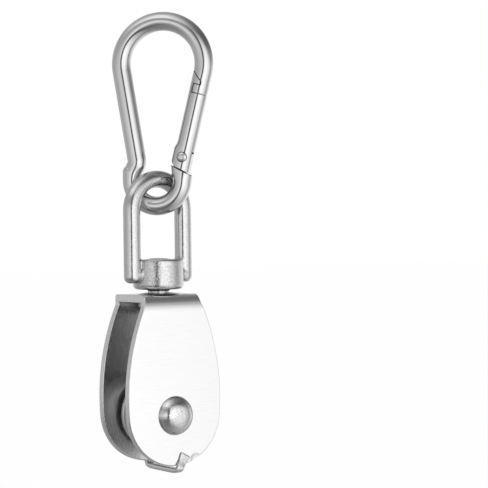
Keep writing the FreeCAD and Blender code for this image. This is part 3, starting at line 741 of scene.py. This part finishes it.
# %% Press the tail and cut the nose
gate_out = Vector((gate_up.y, -gate_up.x))
for vertex in hook.data.vertices:
    offset = Vector((vertex.co.x, vertex.co.z)) - tail_start
    along = offset.dot(tail_way)
    side = offset.dot(Vector((tail_way.y, -tail_way.x)))
    if 0 < along < tail_l + 0.1 and abs(side) < WIRE_R + 0.1:
        reach = TAIL_OUT if side > 0 else -TAIL_IN
        push = gate_out * (reach * along / tail_l * smooth_step(abs(side) / (0.7 * WIRE_R)))
        vertex.co.x += push.x
        vertex.co.z += push.y
STUB_R = WIRE_R - 0.004  # a hair inside the wire, so that their faces don't coincide
stub = lathe("stub", rounded([(0, 0), (STUB_R, 0), (STUB_R, SHOULDER_RISE), (0, SHOULDER_RISE)],
                             [0, 0, 1.25, 0], 12), 96)
stub.data.transform(Matrix.Translation((LOOP_C.x - LOOP_R, 0, LOOP_C.y)))
cut(hook, stub, "UNION")
place(hook, yaw)
# The cut faces take the sawn steel: its darker colour is painted shade in the joint and slot.
cut(hook, saw(slope_box("above_joint", LOWER_JOINT + LOWER_GAP, 1)))
cut(hook, saw(in_gate_frame(prism("slot", latch_outline(SLOT_GAP, GATE_L - 1.0), THROUGH))))
print("hook cut at both joints")

# %% [markdown]
# The tail ends in a flat tongue that the gate's fork straddles. Its top edge is a spiral, which
# pushes back the plunger in the gate as the gate swings open.

# %% Tongue
CAM_R, CAM_GROWTH = 1.35, 0.7  # radius over the pivot, and its growth per radian
CAM_START, CAM_PAST, OPEN_ANGLE = 75, 29, 38.0
TONGUE_T = 1.6

cam = []
for i in range(25):
    a = math.radians(CAM_START + (OPEN_ANGLE + CAM_PAST) * i / 24)
    radius = CAM_R + CAM_GROWTH * (a - math.pi / 2)
    cam.append((math.cos(a) * radius, math.sin(a) * radius))
foot = -LOWER_JOINT - LOWER_GAP - 1.2
outline = [(1.76, foot), (1.76, 0.95), (1.6, 1.1), (1.0, 1.2)] + cam
outline += [(-CAM_R, -CAM_R), (-CAM_R / 2, foot)]
hook = cut(hook, in_gate_frame(prism("tongue", outline, TONGUE_T)), "UNION")
tidy(hook, merge=MERGE_M)
finish_piece(hook, "hook", [wire_steel, sawn_steel_painted_shade], ["hook_body"])

# %% [markdown]
# ### The gate
#
# The gate is a straight bar of the same wire. Its lower end is forked over the tongue and pressed
# slightly wider on the inside, and its upper end is milled to the latch. Rings of points half a
# millimetre apart let the press bend the bar smoothly.

# %% Shape the gate
SWELL, SWELL_TOP, SWELL_RAMP = 0.45, 2.85, 1.45  # the pressed part, from its top down
HEEL_R = 2.35  # round end below the pivot
FORK_T = 1.8  # slot for the tongue
SINK_R, SINK_AT = 1.03, 1.4  # countersinks for the rivet's heads, out from the middle

rings = [(0, -3 + 0.5 * i) for i in range(17)]
gate = wire("gate", [(0, -4)] + rings + [(0, GATE_L + 6)], [0] * 19, WIRE_R)
for vertex in gate.data.vertices:
    push = smooth_step((SWELL_TOP - vertex.co.z) / SWELL_RAMP)
    if vertex.co.x < 0:
        vertex.co.x -= SWELL * push * smooth_step(-vertex.co.x / WIRE_R)
in_gate_frame(gate)
top = GATE_L - UPPER_GAP / 2
latch = latch_outline(0, -20)
keep = prism("keep", [latch[0], (5, -20), (5, top), (latch[1][0], top)] + latch[2:], THROUGH)
# The latch's and the joint's cut faces take the sawn steel, darkened as painted shade.
cut(gate, saw(in_gate_frame(keep)), "INTERSECT")
cut(gate, saw(slope_box("below_joint", LOWER_JOINT, -1)))
heel = [(-9, 0), (-9, -9), (0, -9)] + arc_points((0, 0), HEEL_R, 270, 180, 16)
cut(gate, in_gate_frame(prism("heel", heel, THROUGH)))
fork = [(-9, -9), (9, -9), (9, 1.25), (0.85, 1.35), (0.85, 2.5), (-9, 2.5)]
cut(gate, in_gate_frame(prism("fork", fork, FORK_T)))
# The countersinks take the sawn steel too, darkened as painted shade under the rivet's heads.
for side in (-1, 1):
    sink = rod("sink", SINK_R, 0, 4, 48)
    sink.data.transform(turned(-90 * side, "X"))
    sink.data.transform(Matrix.Translation((0, side * SINK_AT, 0)))
    cut(gate, saw(in_gate_frame(sink)))
tidy(gate, merge=MERGE_M)
finish_piece(gate, "gate", [wire_steel, sawn_steel_painted_shade], ["hook_gate"])

# %% [markdown]
# The joint and the latch show as dark lines, because their gaps are deep and the saw's faces in
# there are dull and darker: that darker colour is painted shade. A thin core inside each gap, in
# the same steel, stops the light that would shine straight through, as the gaps of the real one
# aren't quite straight. The tail's core stays a little lower than the gate's end, so that the gate
# can swing over it.

# %% Cores in the gaps
GATE_END = GATE_L - 0.6  # inside the gate, where the latch's and the joint's core start

tail_core = in_gate_frame(rod("tail_core", WIRE_R - 0.25, -4.2, -1.5))
cut(tail_core, slope_box("above_core", LOWER_JOINT + 0.16, 1))
latch_core = in_gate_frame(prism("latch_core", latch_outline(0.15, GATE_END, -WIRE_R + 0.45), 2.0))
joint_core = in_gate_frame(rod("joint_core", WIRE_R - 0.22, GATE_END, GATE_L + 0.06))
# The cores wear the sawn steel, whose darker colour is painted shade in the gaps.
for core, body in ((tail_core, "hook"), (latch_core, "gate"), (joint_core, "gate")):
    finish_piece(core, body, [sawn_steel_painted_shade], [])

# %% Rivet of the gate
rivet = lathe("hinge_rivet", rounded(
    [(0, -2.06), (0.55, -2.02), (0.94, -1.78), (0.98, -1.45), (0.8, -1.45),
     (0.8, 1.45), (0.98, 1.45), (0.94, 1.78), (0.55, 2.02), (0, 2.06)],
    [0, 0.5, 0.2, 0, 0, 0, 0, 0.2, 0.5, 0]), 64, "-Y")
in_gate_frame(rivet)
finish_piece(rivet, "hook", [turned_steel], ["gate_rivet"])

# %% [markdown]
# ## The swivel eye
#
# The eye is a casting: legs, arch and barrel flow into each other with soft corners, and no edge
# is crisp. The CAD solid has the right places but hard corners where the parts meet. Remeshing a
# copy into small even cells and relaxing it rounds those corners as a mould and a tumbler would.
# The barrel keeps more of the mould's grain than the legs, which rub on everything.

# %% Remesh the casting
CELL_MM, RELAX_ROUNDS = 0.16, 10
GRAIN_TOP, GRAIN_R = 31.0, 5.6  # where the barrel ends and the legs begin

eye = add_object("swivel_eye_casting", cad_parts["swivel_eye"].data.copy())
tidy(eye, merge=MERGE_M)
modify(eye, "REMESH", mode="VOXEL", voxel_size=CELL_MM * MM, use_smooth_shade=True)
modify(eye, "SMOOTH", factor=0.5, iterations=RELAX_ROUNDS)
bake(eye)
give_materials(eye, [cast_steel, grainy_steel])
for face in eye.data.polygons:
    middle = face.center / MM
    on_barrel = middle.z < GRAIN_TOP and math.hypot(middle.x, middle.y) < GRAIN_R
    face.material_index = int(on_barrel)
finish_piece(eye, "eye", [cast_steel, grainy_steel], ["swivel_eye"],
             weighted=False)

# %% [markdown]
# ## The swivel pin
#
# A headed pin comes up through the housing and is riveted over in the barrel's countersink. Only
# its neck shows, in the shade below the barrel, over a cupped washer.

# %% Sizes that the CAD model gives, in mm
_, (_, CHEEK_FACE), (_, HOUSING_TOP) = node_spans("housing")     # the back cheek's outer face
_, _, (BARREL_Z, _) = node_spans("swivel_eye")                   # the barrel's lower end
(_, PIN_HEAD_R), _, (_, PIN_TOP) = node_spans("swivel_pin")
(_, RIM_R), (_, HUB_FACE), _ = node_spans("sheave")
SHEET_T = 1.5
PLATE_UNDER = HOUSING_TOP - SHEET_T
BARREL_TOP = PIN_TOP - 0.3
print("cheek face at", CHEEK_FACE, "housing top at", HOUSING_TOP, "wheel radius", RIM_R)

# %% Turn the pin
head_top = PLATE_UNDER - 0.12
pin_head = [(0, head_top - 2.5), (1.6, head_top - 2.45), (3.5, head_top - 1.75),
            (PIN_HEAD_R, head_top - 0.8), (PIN_HEAD_R, head_top)]
pin_neck = [(2.225, head_top), (2.225, 23.65), (2.1, 23.75), (2.1, 24.3), (2.65, BARREL_Z)]
pin_shank = [(1.95, BARREL_Z), (1.95, BARREL_TOP - 0.75), (2.7, BARREL_TOP),
             (1.5, BARREL_TOP + 0.22), (0, PIN_TOP)]
pin = lathe("swivel_pin_turned", rounded(
    pin_head + pin_neck + pin_shank,
    [0, 1.2, 1.2, 0.2, 0.12, 0.1, 0.05, 0.05, 0.2, 0.05, 0, 0, 0.1, 0.6, 0]))
place(pin)
finish_piece(pin, "eye", [mill_steel], ["swivel_pin"])

# %% Cupped washer on the housing, round the neck
washer = lathe("cupped_washer", rounded(
    [(2.5, HOUSING_TOP), (2.42, 23.84), (2.75, 23.88), (4.2, 23.64), (4.3, HOUSING_TOP)],
    [0, 0.05, 0.1, 0.1, 0], 4))
place(washer)
finish_piece(washer, "block", [mill_steel], [])

# %% [markdown]
# ## The housing
#
# One strip of 1.5 mm sheet is blanked to shape, drilled, and folded twice. Here the fold comes
# first as a channel, and the outline is then cut out of it from the front, which gives both
# cheeks the same edge. A tab of the back cheek runs under the front one and is hammered up.

# %% Section of the channel
CHEEK_R, CHEEK_LIFT = 10.35, 0.55  # round lower end, and its middle's height
CHEEK_END = CHEEK_LIFT - CHEEK_R
EASE_R, EASE_TURN = 6.0, 26.0  # easy start of the front fold
TIGHT_R, BACK_R = 1.6, 0.6  # rest of the front fold, and the back fold


def channel(inset, low):
    """The folded section's outside line, or a parallel one inside it: the front fold starts with
    a long easy bend, because the press lets the cheek spring back a little. The inside line has
    few points, because the bevel needs room between them."""
    turn = math.radians(EASE_TURN)
    start_z = HOUSING_TOP - EASE_R * math.sin(turn) - TIGHT_R * (1 - math.sin(turn))
    ease_centre = (-CHEEK_FACE + EASE_R, start_z)
    step = EASE_R - TIGHT_R
    tight_centre = (ease_centre[0] - step * math.cos(turn), start_z + step * math.sin(turn))
    front = arc_points(ease_centre, EASE_R - inset, 180, 180 - EASE_TURN, 10)
    front += arc_points(tight_centre, TIGHT_R - inset, 180 - EASE_TURN, 90, 2 if inset else 16)[1:]
    radius = max(BACK_R - inset, 0)
    back_centre = (CHEEK_FACE - inset - radius, HOUSING_TOP - inset - radius)
    back = arc_points(back_centre, radius, 90, 0, 12 if radius else 0)
    return [(-CHEEK_FACE + inset, low)] + front + back + [(CHEEK_FACE - inset, low)]


WIDER_THAN_ALL = 40
section = channel(0, CHEEK_END - 3) + channel(SHEET_T, CHEEK_END - 3)[::-1]
housing = prism("housing_sheet", section, WIDER_THAN_ALL)
housing.data.transform(turned(90, "Z"))
print("section of", len(section), "points")

# %% Outline of the cheeks, and the holes
CHEEK_SWELL, CHEEK_WIDE, CHEEK_SHOULDER = 0.11, 3.3, 21.6  # widest there, and the sides' top
DRAW_IN = 0.055  # narrowing of the front fold, as it stretches
AXLE_HOLE_R, PIN_HOLE_R = 2.02, 2.305

rise = CHEEK_WIDE - CHEEK_LIFT
side_r = rise ** 2 / (2 * CHEEK_SWELL) + CHEEK_R + CHEEK_SWELL / 2
inset = side_r - CHEEK_R - CHEEK_SWELL
low_angle = math.degrees(math.atan2(-rise, inset))
high_angle = math.degrees(math.asin((CHEEK_SHOULDER - CHEEK_WIDE) / side_r))
side_line = arc_points((-inset, CHEEK_WIDE), side_r, low_angle, high_angle, 60)
outline = side_line + [(side_line[-1][0], HOUSING_TOP + 2)]
outline += [(-x, z) for x, z in outline[::-1]]
outline += arc_points((0, CHEEK_LIFT), CHEEK_R, 180 - low_angle, 360 + low_angle, 90)[1:-1]
cut(housing, prism("outline", outline, WIDER_THAN_ALL), "INTERSECT")
for vertex in housing.data.vertices:
    in_fold = smooth_step((vertex.co.z - 21.0) / 2.4) * smooth_step(-vertex.co.y / 4)
    vertex.co.x *= 1 - DRAW_IN * in_fold
cut(housing, rod("axle_hole", AXLE_HOLE_R, -20, 20, axis="-Y"))
cut(housing, rod("pin_hole", PIN_HOLE_R, 5, 40))
print("side radius", round(side_r, 1), "mm")

# %% [markdown]
# The sheet is polished outside, left as rolled inside, and sheared along its edges. The bevel
# takes the sheared steel too, so that a pale line of filed metal runs round each cheek. A bevel
# folds over where points lie closer together than it is wide, and clamping it there would thin it
# everywhere. So close points are merged first, and the clamp stays off. Last comes a dent beside
# the tie, where the hammer slipped.

# %% Steels and edges of the housing
FILED_W, FILED_STEPS, FILED_ANGLE = 0.2, 3, 40
BEVEL_ROOM = 0.09
DENT_R, DENT_DEPTH, DENT_AT, DENT_ANGLE = 6.0, 0.15, 9.95, math.radians(-63)

housing_steels = [sheet_steel, mill_steel, sheared_steel]
give_materials(housing, housing_steels)
for face in housing.data.polygons:
    middle, normal = face.center, face.normal
    inside = abs(middle.y) < CHEEK_FACE - SHEET_T + 0.02 and middle.z < PLATE_UNDER + 0.02
    sideways = math.hypot(normal.y, normal.z) < 0.9 and abs(middle.x) > 3
    rim = (sideways or middle.z < CHEEK_END + 1) and abs(normal.y) < 0.9
    away_from_holes = math.hypot(middle.x, middle.z) > 9
    face.material_index = 2 if rim and away_from_holes else int(inside)
tidy(housing, merge=BEVEL_ROOM)
modify(housing, "BEVEL", width=FILED_W, segments=FILED_STEPS, limit_method="ANGLE",
       angle_limit=math.radians(FILED_ANGLE), use_clamp_overlap=False,
       material=housing_steels.index(sheared_steel))
bake(housing)
dent = lathe("dent", arc_points((0, 0), DENT_R, -90, 90, 64))
dent.data.transform(Matrix.Translation((DENT_AT * math.cos(DENT_ANGLE),
                                        -CHEEK_FACE - DENT_R + DENT_DEPTH,
                                        DENT_AT * math.sin(DENT_ANGLE))))
cut(housing, dent)
tidy(housing)
place(housing)
finish_piece(housing, "block", housing_steels, [])

# %% [markdown]
# ### The hammered tie
#
# The tab is a flat strip that turns forward under the cheeks, then up. Its tip is thinner and
# wider than the strip, because the hammer spread it over the front cheek. It is lofted from
# rounded sections along its run and subdivided, so its bends stay soft.

# %% Loft the tab
SECTION_POINTS, SQUARENESS = 12, 0.42  # of a section: 1 is an ellipse, 0 a rectangle


def loft(name, sections):
    """Skin over rounded rectangular sections: (centre, across, normal, width, thickness, dip).
    dip pushes the middle of a section on along the run."""
    vertices, faces, ring = [], [], SECTION_POINTS
    for centre, across, normal, width, thick, dip in sections:
        c, a, n = Vector(centre), Vector(across).normalized(), Vector(normal).normalized()
        for i in range(ring):
            t = 2 * math.pi * (i + 0.5) / ring
            u = math.copysign(abs(math.cos(t)) ** SQUARENESS, math.cos(t))
            v = math.copysign(abs(math.sin(t)) ** SQUARENESS, math.sin(t))
            onward = a.cross(n) * dip * (1 - u * u)
            vertices.append(c + a * (u * width / 2) + n * (v * thick / 2) + onward)
    for k in range(len(sections) - 1):
        for i in range(ring):
            j = (i + 1) % ring
            faces.append((k * ring + i, k * ring + j, (k + 1) * ring + j, (k + 1) * ring + i))
    faces.append(tuple(range(ring - 1, -1, -1)))
    faces.append(tuple(range((len(sections) - 1) * ring, len(sections) * ring)))
    return mesh_object(name, vertices, faces)


STRAP_X, STRAP_Z, TIP_Y = 0.3, -10.78, -6.14
across, tilted = (1, 0, 0), (1, 0, -0.58)
down_the_back = [((STRAP_X, 5.14, -8.7), across, (0, 1, 0), 1.8, 1.4, 0),
                 ((STRAP_X, 5.14, -9.7), across, (0, 1, -0.1), 1.8, 1.3, 0),
                 ((STRAP_X, 4.9, -10.42), across, (0, 0.8, -0.6), 1.8, 1.15, 0)]
under = [((STRAP_X, 4.25, STRAP_Z + 0.02), across, (0, 0.3, -1), 1.8, 1.1, 0),
         *(((STRAP_X, y, STRAP_Z), across, (0, 0, -1), 1.8, 1.1, 0) for y in (2.0, -2.0, -4.6))]
round_the_edge = [((STRAP_X, -5.7, STRAP_Z + 0.03), across, (0, -0.25, -1), 1.78, 1.05, 0),
                  ((STRAP_X + 0.08, -6.3, STRAP_Z + 0.2), across, (0, -0.75, -0.7), 1.72, 0.95, 0),
                  ((0.62, -6.42, -10.1), (1, 0, -0.35), (0, -1, -0.15), 1.62, 0.8, 0)]
up_the_front = [((1.1, TIP_Y - 0.06, -9.35), tilted, (0, -1, 0), 1.6, 0.5, 0),
                ((1.55, TIP_Y, -8.6), tilted, (0, -1, 0), 1.95, 0.38, 0),
                ((1.98, TIP_Y, -7.95), tilted, (0, -1, 0), 2.4, 0.34, 0.1),
                ((2.2, TIP_Y + 0.02, -7.6), tilted, (0, -1, 0), 2.15, 0.3, 0.42)]
tie = loft("hammered_tie", down_the_back + under + round_the_edge + up_the_front)
modify(tie, "SUBSURF", levels=3, render_levels=3)
bake(tie)
tidy(tie, 60)
place(tie)
finish_piece(tie, "block", [pressed_steel], ["housing"], weighted=False)

# %% [markdown]
# ## Wheel and axle
#
# The sheave runs on a thick rivet. Its groove is round for rope, and its sides are dished between
# the hub and the rim.

# %% Sheave
BORE_R, HUB_R, DISH, RIM_HALF = 2.06, 3.7, 2.8, 3.3
GROOVE_R, GROOVE_AT = 2.2, 7.2  # of the round groove, and its middle's radius

side_profile = rounded(
    [(BORE_R, HUB_FACE - 1), (HUB_R, HUB_FACE), (HUB_R, DISH), (RIM_R - 1.5, DISH),
     (RIM_R - 1.5, RIM_HALF), (RIM_R, RIM_HALF), (RIM_R, 2.4), (6.9, 2.19)],
    [0, 0.1, 0.15, 0.25, 0.12, 0.4, 0.12, 0])
side_profile[0] = (BORE_R, HUB_FACE)
groove = [(r, y) for y, r in arc_points((0, GROOVE_AT), GROOVE_R, -5, -175, 24)]
wheel = side_profile + groove + [(r, -y) for r, y in side_profile[::-1]]
sheave = lathe("sheave_wheel", wheel, 160, "-Y")
place(sheave)
finish_piece(sheave, "sheave", [matt_steel], ["sheave"])

# %% [markdown]
# The press leaves a front head that is nearly flat in the middle and steep at its rim. A mirror
# shows slope rather than height, so the head is written as slopes, summed from the rim inwards.

# %% Axle rivet
HEAD_R, HEAD_STEPS = 3.84, 64
HEAD_SLOPES = [(0, 0), (1.2, 7), (1.8, 13), (2.2, 22), (2.5, 31), (2.9, 40), (3.3, 49),
               (3.62, 61), (3.84, 74)]   # radius in mm, slope in degrees

ring_w = HEAD_R / HEAD_STEPS
head, height = [(HEAD_R - 0.02, CHEEK_FACE - 0.03)], CHEEK_FACE + 0.04
for i in range(HEAD_STEPS):
    radius = HEAD_R * (1 - i / HEAD_STEPS)
    head.append((radius, height))
    height += ring_w * math.tan(math.radians(blend(HEAD_SLOPES, radius - ring_w / 2)))
head = [(0, height)] + head[::-1]
tail = rounded([(3.45, -CHEEK_FACE), (3.5, -CHEEK_FACE - 0.3), (2.8, -CHEEK_FACE - 1.15),
                (1.5, -CHEEK_FACE - 1.57), (0, -CHEEK_FACE - 1.6)], [0, 0.4, 1.6, 0.8, 0], 8)
shank = [(2.0, CHEEK_FACE - 0.03), (2.0, -CHEEK_FACE)]
axle = lathe("axle_rivet_closed", head + shank + tail, 128, "-Y")
place(axle)
print("head height", round(height - CHEEK_FACE, 2), "mm")
finish_piece(axle, "block", [pressed_steel], ["axle_rivet"])

# %% [markdown]
# ## Parts that hardly show
#
# The plunger and its spring sit inside the gate. Their CAD meshes are good enough, so they only
# get their steels.

# %% Plunger and spring
for node, material in (("gate_plunger", turned_steel), ("gate_spring", spring_steel)):
    give_materials(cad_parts[node], [material])
    print(node, "is", material.name)

# %% [markdown]
# ## The floor
#
# The block hangs, so the floor lies well below it and only catches a faint shadow. About half of
# what the eye sees of it is a glow, and half is light from the room that the block can shade. The
# two add up to just under white, so that the shadow shows and the edge of the floor doesn't.

# %% Floor
FLOOR_REACH, FLOOR_GLOW = 3, 0.46  # metres, and its part of the brightness

corners = [(x * FLOOR_REACH, y * FLOOR_REACH, FLOOR_Z)
           for x, y in ((-1, -1), (1, -1), (1, 1), (-1, 1))]
floor = mesh_object("floor", corners, [(0, 1, 2, 3)])
floor_material, tree = new_material("pale floor")
shader = tree.nodes["Principled BSDF"]
set_inputs(tree, shader, {
    "Base Color": linear("#f2f2f2"), "Roughness": 0.9, "Specular IOR Level": 0.0})
lift = add_node(tree, "ShaderNodeMath", {0: seen_rays(tree), 1: FLOOR_GLOW}, operation="MULTIPLY")
glow = add_node(tree, "ShaderNodeEmission", {"Color": WHITE, "Strength": lift})
both = add_node(tree, "ShaderNodeAddShader", {0: shader, 1: glow})
set_inputs(tree, tree.nodes["Material Output"], {"Surface": both})
give_materials(floor, [floor_material])
print("floor", round(-FLOOR_Z / MM), "mm below the wheel")
